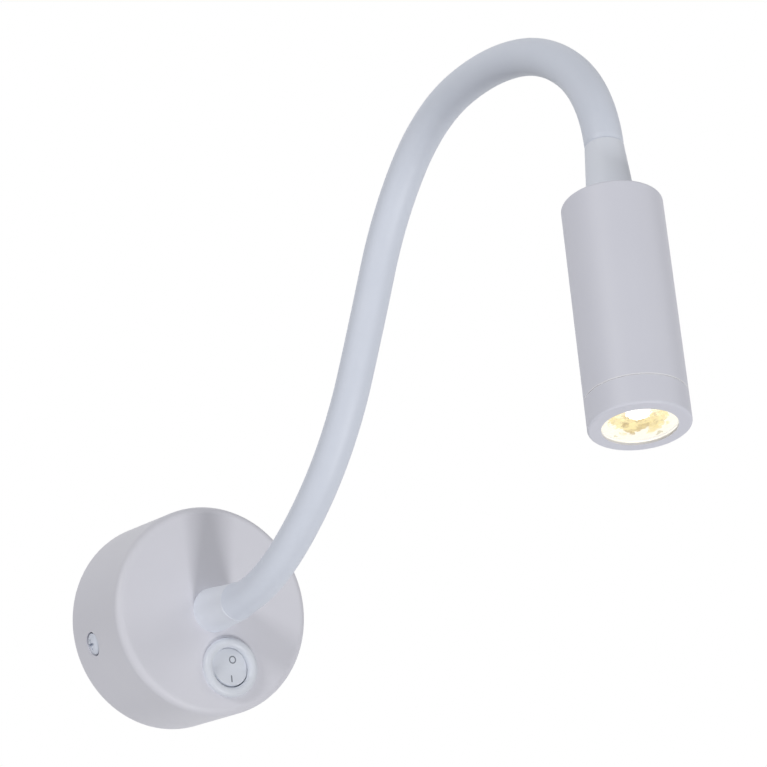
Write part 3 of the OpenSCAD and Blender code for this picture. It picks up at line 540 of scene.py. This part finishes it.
# %% Zones of the lens
LENS_R, LENS_NECK_R, LENS_FOOT_R = 12.5 * MM, 11.8 * MM, 4.5 * MM
LENS_HEIGHT, LENS_RIM = 14 * MM, 2.4 * MM
POCKET_R, ROOF_LOW, ROOF_R = 3.69 * MM, 3.2 * MM, 8 * MM
FRONT_FROM, FRONT_FULLY = 0.3 * MM, 0.1 * MM
lens_front = HEAD_LENGTH - LIP
acrylic, tree, shader, place = new_finish("moulded_acrylic", IOR=1.49)
radius, past_top = head_distances(tree, place)
front = add(tree, "MapRange", {"Value": past_top, "From Min": lens_front - FRONT_FROM,
                               "From Max": lens_front - FRONT_FULLY}).outputs["Result"]
pocket = add(tree, "MapRange", {"Value": radius, "From Min": LENS_FOOT_R,
                                "From Max": POCKET_R}).outputs["Result"]
print(acrylic.name, "is clear in its front", FRONT_FROM / MM, "mm")

# %% Mirrored facets
FACET_MM, FACET_DEPTH = 2.1, 0.2 * MM
WHITE_FROM, YELLOW_WITHIN, RAGGED = 11.0 * MM, 10.4 * MM, 2.4 * MM
DEEPER_TONES = 1.4
FLECKS_FROM, FLECKS_FULLY = 0.92, 0.96
facets = add(tree, "TexVoronoi", {"Vector": place, "Scale": per(FACET_MM)}, distance="CHEBYCHEV").outputs
tone = add(tree, "SeparateColor", {"Color": facets["Color"]}).outputs
ragged = add(tree, "Math", {0: tone["Green"], 1: RAGGED, 2: radius}, operation="MULTIPLY_ADD").outputs[0]
warm = add(tree, "MapRange", {"Value": ragged, "From Min": WHITE_FROM, "From Max": YELLOW_WITHIN})
deep = add(tree, "Math", {0: tone["Red"], 1: DEEPER_TONES}, operation="POWER").outputs[0]
gold = add(tree, "Mix", {MIX_FACTOR: deep, MIX_A: linear("#FBE9A0"),
                         MIX_B: linear("#A8882A")}, data_type="RGBA")
fleck = add(tree, "MapRange", {"Value": tone["Blue"], "From Min": FLECKS_FROM, "From Max": FLECKS_FULLY})
pale = add(tree, "Mix", {MIX_FACTOR: fleck.outputs["Result"], MIX_A: linear("#FFFEFA"),
                         MIX_B: linear("#C9C5AE")}, data_type="RGBA")
mirrored = add(tree, "Mix", {MIX_FACTOR: warm.outputs["Result"], MIX_A: pale.outputs[MIX_RESULT],
                             MIX_B: gold.outputs[MIX_RESULT]}, data_type="RGBA")
print("facets of", FACET_MM, "mm, yellow within", YELLOW_WITHIN / MM, "mm of the axis")

# %% Acrylic
FLANK_GLOW, POCKET_GLOW = 0.69, 1.4
tint = add(tree, "Mix", {MIX_FACTOR: front, MIX_A: linear("#7D7A70"),
                         MIX_B: linear("#FFFEFA")}, data_type="RGBA")
hot = add(tree, "Mix", {MIX_FACTOR: pocket, MIX_A: mirrored.outputs[MIX_RESULT],
                        MIX_B: linear("#FFFDF6")}, data_type="RGBA")
inside = add(tree, "MapRange", {"Value": pocket, "To Min": FLANK_GLOW, "To Max": POCKET_GLOW})
glow = add(tree, "MapRange", {"Value": front, "To Min": inside.outputs["Result"], "To Max": 0.0})
clear = add(tree, "MapRange", {"Value": front, "To Min": 0.3, "To Max": 1.0})
polish = add(tree, "MapRange", {"Value": front, "To Min": 0.3, "To Max": 0.03})
bump = add(tree, "Bump", {"Height": facets["Distance"], "Strength": front, "Distance": FACET_DEPTH})
tree.links.new(tint.outputs[MIX_RESULT], shader.inputs["Base Color"])
tree.links.new(hot.outputs[MIX_RESULT], shader.inputs["Emission Color"])
tree.links.new(glow.outputs["Result"], shader.inputs["Emission Strength"])
tree.links.new(clear.outputs["Result"], shader.inputs["Transmission Weight"])
tree.links.new(polish.outputs["Result"], shader.inputs["Roughness"])
tree.links.new(bump.outputs["Normal"], shader.inputs["Normal"])
print(acrylic.name, "glows from", FLANK_GLOW, "on the flank to", POCKET_GLOW, "in the pocket")

# %% Lens
LENS_SIDES, LENS_STEPS = 128, 16
FLANK_BULGE = 0.4
lens_foot = lens_front - LENS_HEIGHT
u = np.linspace(0, 1, LENS_STEPS)
# the roof is an arc, the flank a parabola that bulges outwards
roof = np.stack([POCKET_R * u, ROOF_LOW + ROOF_R - np.sqrt(ROOF_R ** 2 - (POCKET_R * u) ** 2)], axis=-1)
flank_r = LENS_FOOT_R + (LENS_NECK_R - LENS_FOOT_R) * ((1 + FLANK_BULGE) * u - FLANK_BULGE * u ** 2)
flank = np.stack([flank_r, (LENS_HEIGHT - LENS_RIM) * u], axis=-1)
rim = np.array([[LENS_R, LENS_HEIGHT - LENS_RIM], [LENS_R, LENS_HEIGHT], [0, LENS_HEIGHT]])
profile = np.concatenate([roof, [[POCKET_R, 0]], flank, rim]) + [0, lens_foot]
lens = make_piece("lens_clear", turned(profile, LENS_SIDES), grid_faces(len(profile), LENS_SIDES), acrylic)
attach(lens, "head")
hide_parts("lens")

# %% [markdown]
# ## The lit LED and what is round it
# The LED is a yellow phosphor under a clear dome on a small ceramic tile, soldered to a white board. A
# lamp in its place would light the lens but not be seen, so the dome itself emits. Lit, its middle is
# white and its rim warm, so the emission fades with the distance from the head's axis. The solder mask
# of the board steps over its copper tracks. The lens holder catches stray light and glows faintly. The
# heat sink is turned aluminium, whose faces carry fine rings: a noise that depends only on the distance
# from the head's axis draws them.

# %% Phosphor
DOME_R, FADE_REACH = 2.1 * MM, 1.4
MIDDLE_POWER, RIM_POWER = 6.0, 1.5
phosphor, tree, shader, place = new_finish("lit_phosphor", Roughness=0.4)
radius, _ = head_distances(tree, place)
fade = add(tree, "MapRange", {"Value": radius, "From Max": FADE_REACH * DOME_R}).outputs["Result"]
warm = add(tree, "Mix", {MIX_FACTOR: fade, MIX_A: linear("#FFF6E0"),
                         MIX_B: linear("#F6D684")}, data_type="RGBA")
power = add(tree, "MapRange", {"Value": fade, "To Min": MIDDLE_POWER, "To Max": RIM_POWER})
tree.links.new(warm.outputs[MIX_RESULT], shader.inputs["Base Color"])
tree.links.new(warm.outputs[MIX_RESULT], shader.inputs["Emission Color"])
tree.links.new(power.outputs["Result"], shader.inputs["Emission Strength"])
dress(phosphor, "led_emitter")

# %% Solder mask of the board
board_mask, tree, shader, place = new_finish("white_solder_mask", Roughness=0.35)
tracks = add(tree, "TexVoronoi", {"Vector": place, "Scale": per(3.5)}, feature="DISTANCE_TO_EDGE")
step = add(tree, "MapRange", {"Value": tracks.outputs["Distance"], "From Min": 0.04, "From Max": 0.08})
cream = add(tree, "Mix", {MIX_FACTOR: step.outputs["Result"], MIX_A: linear("#DAD6C8"),
                          MIX_B: linear("#EDEAE0")}, data_type="RGBA")
bump = add(tree, "Bump", {"Height": step.outputs["Result"], "Distance": 0.035 * MM})
tree.links.new(cream.outputs[MIX_RESULT], shader.inputs["Base Color"])
tree.links.new(bump.outputs["Normal"], shader.inputs["Normal"])
dress(board_mask, "led_board")

# %% Holder that carries the lens
holder_plastic, tree, shader, place = new_finish("moulded_polycarbonate_lit", Roughness=0.4,
                                                 Emission_Strength=0.6)
radius, _ = head_distances(tree, place)
far = add(tree, "MapRange", {"Value": radius, "From Min": LENS_FOOT_R, "From Max": LENS_R})
cream = add(tree, "Mix", {MIX_FACTOR: far.outputs["Result"], MIX_A: linear("#FFEDBC"),
                          MIX_B: linear("#FFF9E6")}, data_type="RGBA")
tree.links.new(cream.outputs[MIX_RESULT], shader.inputs["Base Color"])
tree.links.new(cream.outputs[MIX_RESULT], shader.inputs["Emission Color"])
dress(holder_plastic, "lens_holder")

# %% Turned aluminium of the heat sink
turned_alloy, tree, shader, place = new_finish("turned_aluminium", Metallic=1.0)
radius, _ = head_distances(tree, place)
rings = add(tree, "TexNoise", {"W": radius, "Scale": per(0.4), "Detail": 1.0}, noise_dimensions="1D")
pale = add(tree, "Mix", {MIX_FACTOR: rings.outputs["Fac"], MIX_A: linear("#B9BBBD"),
                         MIX_B: linear("#D5D6D8")}, data_type="RGBA")
dull = add(tree, "MapRange", {"Value": rings.outputs["Fac"], "To Min": 0.22, "To Max": 0.42})
tree.links.new(pale.outputs[MIX_RESULT], shader.inputs["Base Color"])
tree.links.new(dull.outputs["Result"], shader.inputs["Roughness"])
dress(turned_alloy, "heat_sink")

# %% [markdown]
# ## Wires and cables
# Inside the base three PVC wires join the terminals, the switch and the driver, and a grey cable runs
# through the neck to the head. The CAD solids of the wires have eight flat sides. Here each wire is a
# round tube along the same listed points: a Catmull-Rom spline gives the path, and a circle is carried
# along it. A curve object with a bevel could give the same tube, but the frame takes meshes, and here
# the formula is in view.

# %% Wire path
WIRE_STEPS, WIRE_SIDES = 10, 20


def spline(points):
    """Catmull-Rom through the points: half of 2b + (c - a)t + (2a - 5b + 4c - d)t^2 +
    (3b - a - 3c + d)t^3, with a and d the points before and after the stretch from b to c."""
    p = np.concatenate([[2 * points[0] - points[1]], points, [2 * points[-1] - points[-2]]])
    a, b, c, d = (p[k:len(p) - 3 + k, None] for k in range(4))
    t = np.linspace(0, 1, WIRE_STEPS, endpoint=False)[None, :, None]
    square, cube = 2 * a - 5 * b + 4 * c - d, 3 * b - a - 3 * c + d
    curve = 0.5 * (2 * b + (c - a) * t + square * t ** 2 + cube * t ** 3)
    return np.concatenate([curve.reshape(-1, 3), points[-1:]])


def wire_surface(path, diameter, side):
    """A circle carried along a path, square to it, shut by a point in the middle of each end."""
    direction = np.gradient(path, axis=0)
    direction /= np.linalg.norm(direction, axis=1, keepdims=True)
    across = side - (direction @ side)[:, None] * direction
    across /= np.linalg.norm(across, axis=1, keepdims=True)
    other = np.cross(direction, across)
    t = np.linspace(0, 2 * np.pi, WIRE_SIDES, endpoint=False)
    ring = np.cos(t)[None, :, None] * across[:, None] + np.sin(t)[None, :, None] * other[:, None]
    wall = path[:, None] + diameter / 2 * ring
    ends = np.repeat(path[[0, -1], None], WIRE_SIDES, axis=1)
    return np.concatenate([ends[:1], wall, ends[1:]])


def from_base(points):
    """Points on the turned base, in millimetres (across, up, out from the wall), in the world."""
    p = np.array(points) * MM
    across = p[:, 0] * np.cos(BASE_TURN) - p[:, 1] * np.sin(BASE_TURN)
    up = p[:, 0] * np.sin(BASE_TURN) + p[:, 1] * np.cos(BASE_TURN)
    return np.stack([across, -p[:, 2], up], axis=-1)


def make_wire(name, route, diameter, side, finish, body):
    """A round wire along a spline through the points of its route."""
    surface = wire_surface(spline(route), diameter, side)
    wire = make_piece(name, surface, grid_faces(len(surface), WIRE_SIDES), finish)
    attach(wire, body)
    return wire


# %% PVC insulation
def pvc(name, dark, light):
    """Extruded PVC insulation: smooth, slightly oily, with a little unevenness in its colour."""
    finish, tree, shader, place = new_finish(name, Roughness=0.36)
    uneven = add(tree, "TexNoise", {"Vector": place, "Scale": per(2.5), "Detail": 3.0})
    colour = add(tree, "Mix", {MIX_FACTOR: uneven.outputs["Fac"], MIX_A: linear(dark),
                               MIX_B: linear(light)}, data_type="RGBA")
    tree.links.new(colour.outputs[MIX_RESULT], shader.inputs["Base Color"])
    return finish


brown_pvc = pvc("brown_pvc", "#5A3521", "#6E4530")
black_pvc = pvc("black_pvc", "#1B1B1D", "#2A2A2D")
blue_pvc = pvc("blue_pvc", "#2A5795", "#3A6BAE")
red_pvc = pvc("red_pvc", "#9C2A22", "#B43A30")
grey_pvc = pvc("grey_pvc_jacket", "#8B8D90", "#A0A2A5")
dress(grey_pvc, *[f"neck_cable_{i}" for i in range(NECK_STRETCHES)])

# %% Wires of the base
LEAD_D, CABLE_D = 2.2 * MM, 4.4 * MM
LEAD_SIDE, CABLE_SIDE = np.array([0.3, -1.0, 0.4]), SIDEWAYS
BLADE_PITCH, BLADE_BACK, CRIMP = 5.2, 13, [0, 0, 3.5]
# routes in millimetres on the base: across, up, out from the wall
load_end = np.array([0, -SWITCH_OFF / MM, BLADE_BACK])
live_end = load_end + BLADE_PITCH * np.array([np.sin(BASE_TURN), np.cos(BASE_TURN), 0])
live_route = [[18, -4, 6.4], [20.5, -4, 6.4], [21.5, -8.5, 6.8], live_end + [13, 2.6, -6.8],
              live_end + [4.6, 0.4, -7.2], live_end - CRIMP, live_end]
load_route = [load_end, load_end - CRIMP, load_end + [5.5, -2, -8], load_end + [16, -1.5, -8.6],
              [26, -17, 6], [32.2, -7.5, 14], [33.4, 2, 22], [30, 13, 28], [24.5, 19.5, 28], [20, 19.5, 28]]
neutral_route = [[18, 4, 6.4], [20.5, 4, 6.4], [24, 9, 10.4], [26, 15, 20], [24, 19.5, 20], [20, 19.5, 20]]
tail_route = [[0, 0, 31], [0, 0, 29], [0, 1.4, 24.5], [0, 5, 20.6], [0, 9, 19], [0, 10.5, 19]]
wire_live = make_wire("wire_live", from_base(live_route), LEAD_D, LEAD_SIDE, brown_pvc, "base")
make_wire("wire_load", from_base(load_route), LEAD_D, LEAD_SIDE, black_pvc, "base")
make_wire("wire_neutral", from_base(neutral_route), LEAD_D, LEAD_SIDE, blue_pvc, "base")
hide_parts("mains_leads")
tail = make_wire("tail_jacket", from_base(tail_route), CABLE_D, CABLE_SIDE, grey_pvc, "base")
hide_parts("cable_tail")

# %% Wires of the head
HEAD_LEAD_D = 1.6 * MM
SINK_BACK, BOARD_FRONT, LEAD_RING = 53.2, 63.8, 11.4
# one route in millimetres, away from the head's axis and past its top, serves both wires
head_route = np.array([[1.1, 10], [1.1, 13], [2.5, 22], [LEAD_RING - 2.5, SINK_BACK - 9],
                       [LEAD_RING, SINK_BACK - 2], [LEAD_RING, SINK_BACK + 3],
                       [LEAD_RING, BOARD_FRONT - 1.4], [LEAD_RING - 0.8, BOARD_FRONT + 0.7],
                       [LEAD_RING - 2.2, BOARD_FRONT + 1.4], [LEAD_RING - 3.8, BOARD_FRONT + 0.9]]) * MM
along = head_top + head_route[:, 1:] * head_axis
aside = head_route[:, :1] * SIDEWAYS
wire_red = make_wire("wire_red", along + aside, HEAD_LEAD_D, head_normal, red_pvc, "head")
make_wire("wire_black", along - aside, HEAD_LEAD_D, head_normal, black_pvc, "head")
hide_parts("head_leads")

# %% [markdown]
# ## Foam pad
# The driver is stuck to the inside of the cup with a pad of closed-cell foam, which shows its cells at
# its edges. Modelled bubbles would be far too many. A Voronoi texture has one cell round each of its
# points, much as foam has, and its distance to the point makes each cell hollow and paints its middle
# darker, as painted shade in the hollow.

# %% Foam
foam, tree, shader, place = new_finish("closed_cell_foam", Roughness=0.9)
cells = add(tree, "TexVoronoi", {"Vector": place, "Scale": per(0.5)})
# painted shade: each cell is darker towards its hollow middle
grey = add(tree, "Mix", {MIX_FACTOR: cells.outputs["Distance"], MIX_A: linear("#4C4E52"),
                         MIX_B: linear("#77797D")}, data_type="RGBA")
bump = add(tree, "Bump", {"Height": cells.outputs["Distance"], "Distance": 0.08 * MM})
tree.links.new(grey.outputs[MIX_RESULT], shader.inputs["Base Color"])
tree.links.new(bump.outputs["Normal"], shader.inputs["Normal"])
dress(foam, "driver_pad")

# %% [markdown]
# ## Light and surroundings
# The picture is lit like a small studio: a wide soft box on each side models the round forms, and a low
# one in front fills the undersides and throws the neck's shadow up on the base. One even white sky would
# be simpler, but then nothing would have a shadow. To the camera, in mirrors and through glass the room
# is plain white, and as light it is dim, so that pale surfaces keep their shading. A pale floor lies far
# below, and where it is seen it shines a little, so that it passes into the white.

# %% Floor
FLOOR_Z, FLOOR_HALF = -4.0, 4.0
FLOOR_LIFT = 0.74


def seen_directly(tree):
    """1 for what the camera, a mirror or a view through glass shows, and 0 for light that falls on a
    surface: the largest of the three kinds of ray."""
    ray = add(tree, "LightPath").outputs
    seen = add(tree, "Math", {0: ray["Is Camera Ray"], 1: ray["Is Glossy Ray"]}, operation="MAXIMUM")
    through = {0: seen.outputs[0], 1: ray["Is Transmission Ray"]}
    return add(tree, "Math", through, operation="MAXIMUM").outputs[0]


floor_paint, tree, shader, place = new_finish("matt_floor_paint", Roughness=0.9)
grain = add(tree, "TexNoise", {"Vector": place, "Scale": per(60), "Detail": 3.0})
pale = add(tree, "Mix", {MIX_FACTOR: grain.outputs["Fac"], MIX_A: linear("#ECECEE"),
                         MIX_B: linear("#F1F1F2")}, data_type="RGBA")
lifted = add(tree, "Math", {0: seen_directly(tree), 1: FLOOR_LIFT}, operation="MULTIPLY")
tree.links.new(pale.outputs[MIX_RESULT], shader.inputs["Base Color"])
tree.links.new(pale.outputs[MIX_RESULT], shader.inputs["Emission Color"])
tree.links.new(lifted.outputs[0], shader.inputs["Emission Strength"])
corners = FLOOR_HALF * np.array([[-1, -1], [1, -1], [1, 1], [-1, 1]])
floor_points = np.column_stack([corners, np.full(len(corners), FLOOR_Z)])
floor = make_piece("floor", floor_points, np.array([[0, 1, 2, 3]]), floor_paint)

# %% World
AMBIENT = 0.33
world = bpy.data.worlds.new("white_room")
bpy.context.scene.world = world
world.use_nodes = True
tree = world.node_tree
tree.nodes.clear()
ambient = add(tree, "Background", {"Color": linear("#FDFDFF"), "Strength": AMBIENT})
backdrop = add(tree, "Background", {"Color": linear("#FFFFFF"), "Strength": 1.0})
mixed = add(tree, "MixShader", {0: seen_directly(tree), 1: ambient.outputs[0], 2: backdrop.outputs[0]})
add(tree, "OutputWorld", {"Surface": mixed.outputs[0]})
print("ambient light", AMBIENT, "of the white that is seen")

# %% Soft boxes
LIGHT_DISTANCE = 5.0


def soft_box(name, turn, lift, size, power):
    """A square area light that faces the target, so far away that the near head gets little more than
    the base."""
    lamp = bpy.data.objects.new(name, bpy.data.lights.new(name, "AREA"))
    lamp.data.size, lamp.data.energy = size, power
    lamp.matrix_world = looking_in(turn, lift, roll=0, distance=LIGHT_DISTANCE)
    bpy.context.scene.collection.objects.link(lamp)
    print(name, "gives", power, "W")


soft_box("left_box", turn=-70, lift=20, size=1.2, power=88)
soft_box("low_box", turn=8, lift=-45, size=1.1, power=95)
soft_box("right_box", turn=52, lift=30, size=2.4, power=30)
bpy.context.scene.view_settings.view_transform = "Standard"
